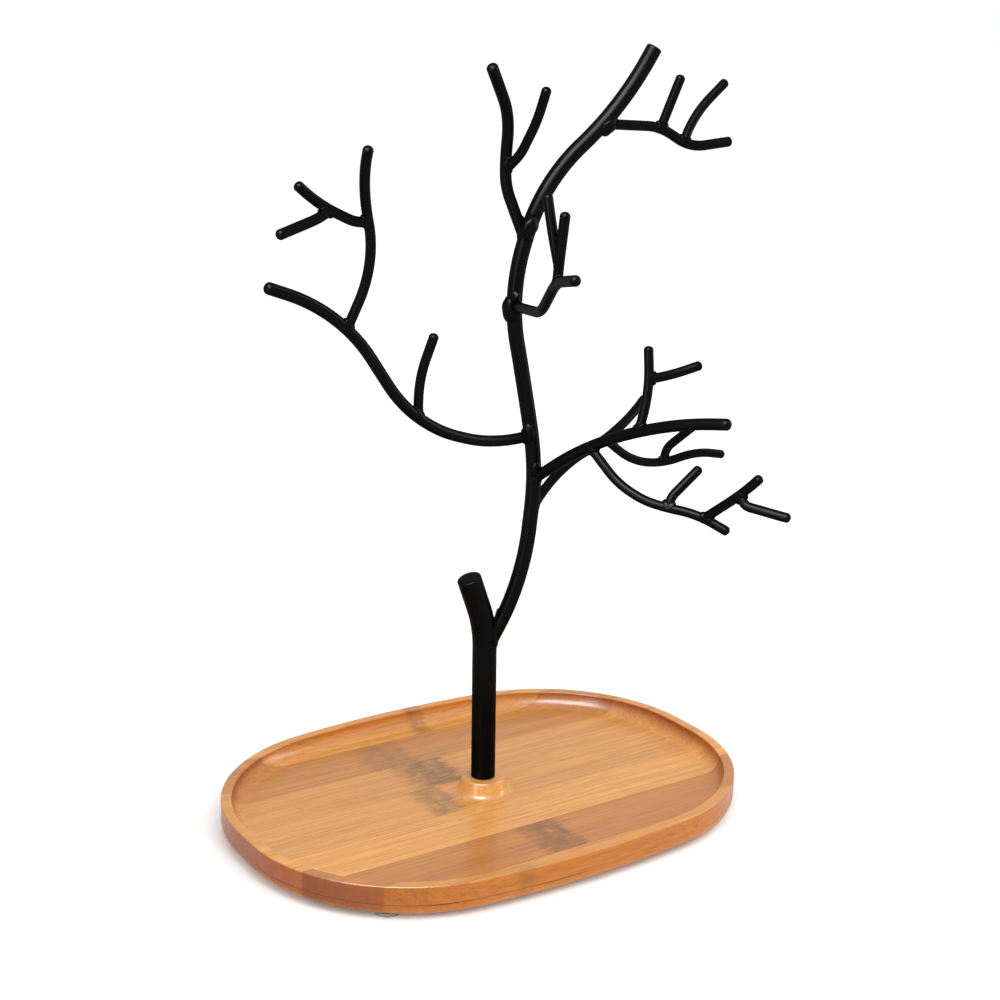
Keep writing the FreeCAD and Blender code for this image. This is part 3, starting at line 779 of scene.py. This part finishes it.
    # The Mix node's sockets 6 and 7 are its two colours, and its third output is their mix.
    colour = tones.outputs[0]
    for amount, layer, blend in layers:
        colour = add(tree, "ShaderNodeMix", {"Factor": amount, 6: colour, 7: layer},
                     data_type="RGBA", blend_type=blend).outputs[2]
    bump = add(tree, "ShaderNodeBump", {"Height": fibres, "Strength": 0.15, "Distance": 0.05 * MM})
    shader = add(tree, "ShaderNodeBsdfPrincipled", {
        "Base Color": colour, "Roughness": 0.5, "Specular IOR Level": 0.2, "Normal": bump,
        "Coat Weight": settings.lacquer, "Coat Roughness": settings.lacquer_roughness})
    add(tree, "ShaderNodeOutputMaterial", {"Surface": shader})
    return material


def zinc_plate():
    """Zinc electroplated on steel: a pale metal, slightly cloudy, that mirrors softly."""
    material, tree = new_material("zinc_plated_steel")
    place = add(tree, "ShaderNodeTexCoord")
    cloud = add(tree, "ShaderNodeTexNoise", {"Vector": place.outputs["Object"], "Scale": 0.4 / MM,
                                             "Detail": 3.0})
    gloss = add(tree, "ShaderNodeMapRange", {"Value": cloud, "To Min": 0.25, "To Max": 0.45})
    shader = add(tree, "ShaderNodeBsdfPrincipled", {"Base Color": linear("#c9c9c6"),
                                                    "Metallic": 1.0, "Roughness": gloss})
    add(tree, "ShaderNodeOutputMaterial", {"Surface": shader})
    return material


def pad_rubber():
    """Soft grey rubber, moulded: matt, with a finely pitted skin."""
    material, tree = new_material("soft_grey_rubber")
    place = add(tree, "ShaderNodeTexCoord")
    # Pits 0.7 mm apart, coarser than such a skin's own so that they show.
    pits = add(tree, "ShaderNodeTexNoise", {"Vector": place.outputs["Object"], "Scale": 1.5 / MM,
                                            "Detail": 2.0})
    colour = add(tree, "ShaderNodeMix", {"Factor": pits, 6: linear("#8c8984"),
                                         7: linear("#a3a09a")}, data_type="RGBA").outputs[2]
    bump = add(tree, "ShaderNodeBump", {"Height": pits, "Strength": 0.3, "Distance": 0.1 * MM})
    shader = add(tree, "ShaderNodeBsdfPrincipled", {"Base Color": colour, "Roughness": 0.75,
                                                    "Normal": bump})
    add(tree, "ShaderNodeOutputMaterial", {"Surface": shader})
    return material


# ------------------------------------------------------------------ tray
OUTLINE_STEP = 2.5      # mm along the outline
CURVE_POINTS, COVE_POINTS, FOOT_POINTS = 7, 17, 9   # over a rounding, the cove, the boss's foot
WALL_RINGS, FLOOR_RINGS, UNDER_RINGS = 4, 12, 6     # between the curves, where nothing bends
MARK_WIDTH = 0.9        # of the router's mark round the boss's foot, mm
MARK_LOW_AT, MARK_DEPTH = 0.4, 0.16     # its lowest ring, out from the foot and down, mm
SEAT_RING = 7.0         # on the boss's top, just outside the post, mm
HOLE_RING = 2.0         # in the screw hole, above the counterbore, mm


def oval_arcs(settings):
    """Centres, radii and limiting headings of a quarter outline's arcs: end, corner, side.

    The corner's arc touches both bows from inside, so its centre lies bow - corner from
    each bow's centre.
    """
    length, width = TRAY_SIZE[0], TRAY_SIZE[1]
    corner = (width - settings.corner_spread) / 2
    side_centre = np.array([0, width / 2 - settings.side_bow])
    end_centre = np.array([length / 2 - settings.end_bow, 0])
    span = end_centre - side_centre
    distance = np.linalg.norm(span)
    to_side, to_end = settings.side_bow - corner, settings.end_bow - corner
    along = (distance ** 2 + to_side ** 2 - to_end ** 2) / (2 * distance)
    across = np.sqrt(to_side ** 2 - along ** 2)
    ahead = span / distance
    corner_centre = side_centre + ahead * along + np.array([ahead[1], -ahead[0]]) * across
    to_corner = corner_centre - end_centre
    from_side = corner_centre - side_centre
    headings = [0, np.arctan2(to_corner[1], to_corner[0]), np.arctan2(from_side[1], from_side[0]),
                np.pi / 2]
    return ([end_centre, corner_centre, side_centre],
            [settings.end_bow, corner, settings.side_bow], headings)


def oval_points(settings):
    """Heading, arc centre and arc radius of each outline point, anticlockwise from +X.

    A point of the outline moved in by any inset is centre + (radius - inset) (cos h, sin h).
    """
    arc_centres, arc_radii, limits = oval_arcs(settings)
    headings, centres, radii = [], [], []
    for centre, radius, low, high in zip(arc_centres, arc_radii, limits, limits[1:]):
        count = max(3, int(radius * (high - low) / OUTLINE_STEP))
        headings.append(np.linspace(low, high, count, endpoint=False))
        centres.append(np.broadcast_to(centre, (count, 2)))
        radii.append(np.full(count, radius))
    heading, centre, radius = [np.concatenate(rows) for rows in (headings, centres, radii)]
    # The other quarters are this one mirrored; its first point isn't repeated.
    heading = np.concatenate([heading, [np.pi / 2], np.pi - heading[:0:-1]])
    centre = np.concatenate([centre, arc_centres[2][None], centre[:0:-1] * [-1, 1]])
    radius = np.concatenate([radius, [arc_radii[2]], radius[:0:-1]])
    return (np.concatenate([heading, heading + np.pi]), np.concatenate([centre, -centre]),
            np.concatenate([radius, radius]))


def turn(centre, radius, start, end, count=CURVE_POINTS):
    """Points of an arc in the section: centre + radius (cos t, sin t), t in degrees."""
    t = np.radians(np.linspace(start, end, count))
    return np.stack([centre[0] + radius * np.cos(t), centre[1] + radius * np.sin(t)], axis=1)


def lifted(plans, levels):
    """Rings of x and y, each at its own level."""
    return np.concatenate([plans, np.broadcast_to(levels[:, None, None], (*plans.shape[:2], 1))],
                          axis=2)


def rings_between(first, last, count):
    """Rings from one to another: (1 - k) first + k last, both left out."""
    k = np.linspace(0, 1, count + 2)[1:-1, None, None]
    return first[None] * (1 - k) + last[None] * k


def tray_surface(settings):
    """The tray as one grid: a section of (inset, level) points carried round the oval.

    Under the board, over the rim and down the cove the rings are ovals; across the floor
    they blend by share k into a circle, (1 - k) oval + k circle; the boss and the hole are
    circles.
    """
    bottom, top = TRAY_LOW[2], TRAY_HIGH[2]
    floor = bottom + settings.floor_thickness
    boss_top = floor + settings.boss_height
    under, edge, cove = settings.under_rounding, settings.rim_rounding, settings.cove_radius
    rim = settings.rim_width
    wall_levels = np.linspace(bottom + under, top - edge, WALL_RINGS + 2)[1:-1]
    outer = np.concatenate([
        turn((under, bottom + under), under, 270, 180),
        [[0, level] for level in wall_levels],
        turn((edge, top - edge), edge, 180, 90),
        turn((rim - edge, top - edge), edge, 90, 0),
        turn((rim + cove, floor + cove), cove, 180, 270, COVE_POINTS)])
    heading, centre, radius = oval_points(settings)
    outward = np.stack([np.cos(heading), np.sin(heading)], axis=1)
    ovals = lifted(centre[None] + (radius[None, :, None] - outer[:, None, :1]) * outward[None],
                   outer[:, 1])
    # Circles keep each outline point's own heading from the middle of the tray.
    spoke = unit(ovals[-1, :, :2])
    lean = np.degrees(np.arctan((settings.boss_base - settings.boss_top) / settings.boss_height))
    tangent = np.tan(np.radians((90 - lean) / 2))       # of a unit arc from the side to level
    foot, rounding = settings.boss_foot, settings.boss_rounding
    foot_centre = settings.boss_base + foot * tangent
    shoulder = settings.boss_top - rounding * tangent
    hole, step_level = settings.screw_hole, bottom + settings.counterbore_depth
    inner = np.concatenate([
        [[foot_centre + MARK_WIDTH, floor], [foot_centre + MARK_LOW_AT, floor - MARK_DEPTH]],
        turn((foot_centre, floor + foot), foot, 270, 180 + lean, FOOT_POINTS),
        turn((shoulder, boss_top - rounding), rounding, lean, 90),
        [[SEAT_RING, boss_top], [hole, boss_top], [hole, step_level + HOLE_RING],
         [hole, step_level], [settings.counterbore, step_level], [settings.counterbore, bottom]]])
    circles = lifted(inner[:, None, :1] * spoke[None], inner[:, 1])
    rings = np.concatenate([ovals, rings_between(ovals[-1], circles[0], FLOOR_RINGS), circles,
                            rings_between(circles[-1], ovals[0], UNDER_RINGS)])
    rings[..., :2] += TRAY_CENTRE[:2]
    return rings.reshape(-1, 3), [grid_faces(*rings.shape[:2], wrap_rows=True)[:, ::-1]]


# ------------------------------------------------------------------ operators
TRAY_CREASE, ROD_CREASE = np.radians(50), np.radians(60)    # edges that turn more look sharp


class TREE_OT_tray(bpy.types.Operator):
    """Make the bamboo tray"""
    bl_idname = "tree.tray"
    bl_label = "Tray"

    def execute(self, context):
        points, faces = tray_surface(look("tree_tray"))
        piece = surface("bamboo_tray", points, faces, lacquered_bamboo(), ("tray",))
        piece.data.set_sharp_from_angle(angle=TRAY_CREASE)
        return {"FINISHED"}


class TREE_OT_rods(bpy.types.Operator):
    """Make the coated rods"""
    bl_idname = "tree.rods"
    bl_label = "Rods"

    def execute(self, context):
        settings = look("tree_rods")
        lines, radii = plan_tree(settings.step)
        for name, line in lines.items():
            points, faces = tube(line, radii[name], RODS[name].tip, settings.dome, settings.sides)
            piece = surface("coated_" + name, points, faces, powder_coat(), (name,))
            piece.data.set_sharp_from_angle(angle=ROD_CREASE)
        return {"FINISHED"}


class TREE_OT_welds(bpy.types.Operator):
    """Make the weld beads round the rods' roots, and the stray lumps"""
    bl_idname = "tree.welds"
    bl_label = "Welds"

    def execute(self, context):
        settings = look("tree_rods")
        lines, radii = plan_tree(settings.step)
        random = np.random.default_rng(settings.seed)
        for name, rod in RODS.items():
            if rod.carrier is None:
                continue
            root, carrier_ahead = lines[rod.carrier].at(rod.at)
            points, faces = bead(root, direction(*rod.runs[0][1:]), radii[name], carrier_ahead,
                                 radii[rod.carrier], settings.bead * radii[name],
                                 settings.lumpiness, random)
            surface("weld_" + name, points, faces, powder_coat())
        for name, (at, heading, climb, *half_sizes) in LUMPS.items():
            centre, ahead = lines["main_stem"].at(at)
            facing = direction(heading, climb)
            outward = unit(facing - (facing @ ahead) * ahead)
            centre = centre + outward * (radii["main_stem"] - LUMP_SINK * half_sizes[2])
            points, faces = lump(centre, ahead, outward, half_sizes, random)
            surface(name, points, faces, powder_coat())
        return {"FINISHED"}


class TREE_OT_hardware(bpy.types.Operator):
    """Finish the screw, the washer and the pads"""
    bl_idname = "tree.hardware"
    bl_label = "Screw, washer and pads"

    def execute(self, context):
        zinc, rubber = zinc_plate(), pad_rubber()
        for name, material in (("base_screw", zinc), ("washer", zinc), ("pads", rubber)):
            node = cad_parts[name]
            node.data.materials.clear()
            node.data.materials.append(material)
        return {"FINISHED"}


# ------------------------------------------------------------------ stage, in metres
# Softboxes: heading and climb of the way to each, distance, width, height, watts, whether
# gloss mirrors it, and whether it lights matt surfaces.
LAMPS = [
    ("right_strip", -22, 18, 1.5, 0.2, 1.3, 15.0, True, False),
    ("left_strip", -158, 18, 1.5, 0.2, 1.3, 15.0, True, False),
    ("high_softbox", -140, 50, 1.2, 0.9, 0.6, 70.0, True, False),
    ("key_softbox", -78, 40, 1.3, 0.9, 0.9, 7.0, False, True),
    ("left_fill", -165, 40, 1.5, 0.9, 0.9, 2.5, False, True),
    ("top_softbox", -60, 80, 1.3, 1.2, 1.2, 11.0, False, True)]
AIM_HEIGHT = 0.2        # of the point that they all face
ROOM_LIGHT = 0.5        # the world's strength for all but the rays that show it
FLOOR_HALF = 60.0
NEAR_FLOOR, FAR_FLOOR = 0.1, 1.3        # from the origin: where the floor's lift starts and ends
NEAR_LIFT, FAR_LIFT = 0.13, 0.62        # strength of the lift there
WHITE = (1, 1, 1, 1)


def shown(tree):
    """1 for rays that show the background: from the camera, a gloss or glass."""
    path = add(tree, "ShaderNodeLightPath")
    seen = path.outputs["Is Camera Ray"]
    for kind in ("Is Glossy Ray", "Is Transmission Ray"):
        seen = add(tree, MATH, (seen, path.outputs[kind]), operation="MAXIMUM")
    return seen


def white_floor():
    """Flat white paint, and a lift that only shows: it takes the far floor to the world's white."""
    material, tree = new_material("white_floor")
    place = add(tree, "ShaderNodeTexCoord")
    away = add(tree, "ShaderNodeVectorMath", [place.outputs["Object"]], operation="LENGTH")
    rise = add(tree, "ShaderNodeMapRange", {
        "Value": away.outputs["Value"], "From Min": NEAR_FLOOR, "From Max": FAR_FLOOR,
        "To Min": NEAR_LIFT, "To Max": FAR_LIFT})
    lift = add(tree, MATH, (shown(tree), rise), operation="MULTIPLY")
    paint = add(tree, "ShaderNodeBsdfDiffuse", {"Color": linear("#f3f3f3")})
    glow = add(tree, "ShaderNodeEmission", {"Color": WHITE, "Strength": lift})
    both = add(tree, "ShaderNodeAddShader", (paint, glow))
    add(tree, "ShaderNodeOutputMaterial", {"Surface": both})
    mesh = bpy.data.meshes.new("floor")
    signs = ((-1, -1), (1, -1), (1, 1), (-1, 1))
    corners = [(sx * FLOOR_HALF, sy * FLOOR_HALF, 0) for sx, sy in signs]
    mesh.from_pydata(corners, [], [(0, 1, 2, 3)])
    mesh.materials.append(material)
    floor = bpy.data.objects.new("floor", mesh)
    bpy.context.scene.collection.objects.link(floor)


def white_world():
    """Even light from all round, which shows as pure white behind the object."""
    world = bpy.data.worlds.new("studio")
    bpy.context.scene.world = world
    world.use_nodes = True
    tree = world.node_tree
    tree.nodes.clear()
    strength = add(tree, "ShaderNodeMapRange", {"Value": shown(tree), "To Min": ROOM_LIGHT,
                                                "To Max": 1.0})
    background = add(tree, "ShaderNodeBackground", {"Color": WHITE, "Strength": strength})
    add(tree, "ShaderNodeOutputWorld", {"Surface": background})


def softboxes():
    """Rectangular lamps that face one point on the post's axis."""
    aim = Vector((TRAY_CENTRE[0] * MM, TRAY_CENTRE[1] * MM, AIM_HEIGHT))
    for name, heading, climb, away, width, height, power, mirrored, lights in LAMPS:
        light = bpy.data.lights.new(name, "AREA")
        light.shape = "RECTANGLE"
        light.size, light.size_y, light.energy = width, height, power
        lamp = bpy.data.objects.new(name, light)
        bpy.context.scene.collection.objects.link(lamp)
        toward = Vector(direction(heading, climb))
        lamp.location = aim + toward * away
        lamp.rotation_euler = toward.to_track_quat("Z", "Y").to_euler()
        lamp.visible_glossy, lamp.visible_diffuse = mirrored, lights


def camera_stand(settings):
    """The camera, on a sphere round its target and rolled about its view."""
    camera = bpy.data.cameras.new("camera")
    camera.lens = settings.lens
    camera.sensor_width = 36.0
    camera.shift_x, camera.shift_y = settings.shift_x, settings.shift_y
    camera.clip_start, camera.clip_end = 0.01, 50.0
    viewer = bpy.data.objects.new("camera", camera)
    bpy.context.scene.collection.objects.link(viewer)
    back = direction(settings.azimuth - 90, settings.elevation)
    flat_right = direction(settings.azimuth, 0)
    up = np.cross(back, flat_right)
    c, s = np.cos(np.radians(settings.roll)), np.sin(np.radians(settings.roll))
    right, up = c * flat_right + s * up, c * up - s * flat_right
    target = np.array([TRAY_CENTRE[0], TRAY_CENTRE[1], settings.target])
    place = Matrix(np.column_stack([right, up, back]).tolist()).to_4x4()
    place.translation = Vector((target + back * settings.distance) * MM)
    viewer.matrix_world = place
    bpy.context.scene.camera = viewer


class TREE_OT_stage(bpy.types.Operator):
    """Make the floor, the light and the camera"""
    bl_idname = "tree.stage"
    bl_label = "Stage"

    def execute(self, context):
        white_floor()
        white_world()
        softboxes()
        camera_stand(look("tree_studio"))
        context.scene.view_settings.view_transform = "Standard"
        return {"FINISHED"}


class TREE_PT_panel(bpy.types.Panel):
    """Pieces of the jewellery tree"""
    bl_idname = "TREE_PT_panel"
    bl_label = "Jewellery tree"
    bl_space_type = "VIEW_3D"
    bl_region_type = "UI"
    bl_category = "Jewellery tree"

    def draw(self, context):
        for operator in OPERATORS:
            self.layout.operator(operator.bl_idname)


OPERATORS = [TREE_OT_tray, TREE_OT_rods, TREE_OT_welds, TREE_OT_hardware, TREE_OT_stage]
GROUPS = {"tree_tray": TreeTraySizes, "tree_bamboo": TreeBambooLook, "tree_rods": TreeRodLook,
          "tree_studio": TreeStudioLook}


def register():
    """Registers the classes and puts each settings group on the scene."""
    for cls in [*GROUPS.values(), *OPERATORS, TREE_PT_panel]:
        bpy.utils.register_class(cls)
    for name, group in GROUPS.items():
        setattr(bpy.types.Scene, name, bpy.props.PointerProperty(type=group))


def unregister():
    """Takes the settings groups and the classes off again."""
    for name in GROUPS:
        delattr(bpy.types.Scene, name)
    for cls in [TREE_PT_panel, *reversed(OPERATORS), *GROUPS.values()]:
        bpy.utils.unregister_class(cls)


def main():
    """Makes every piece in turn."""
    register()
    bpy.ops.tree.tray()
    bpy.ops.tree.rods()
    bpy.ops.tree.welds()
    bpy.ops.tree.hardware()
    bpy.ops.tree.stage()


if __name__ == "__main__":
    main()
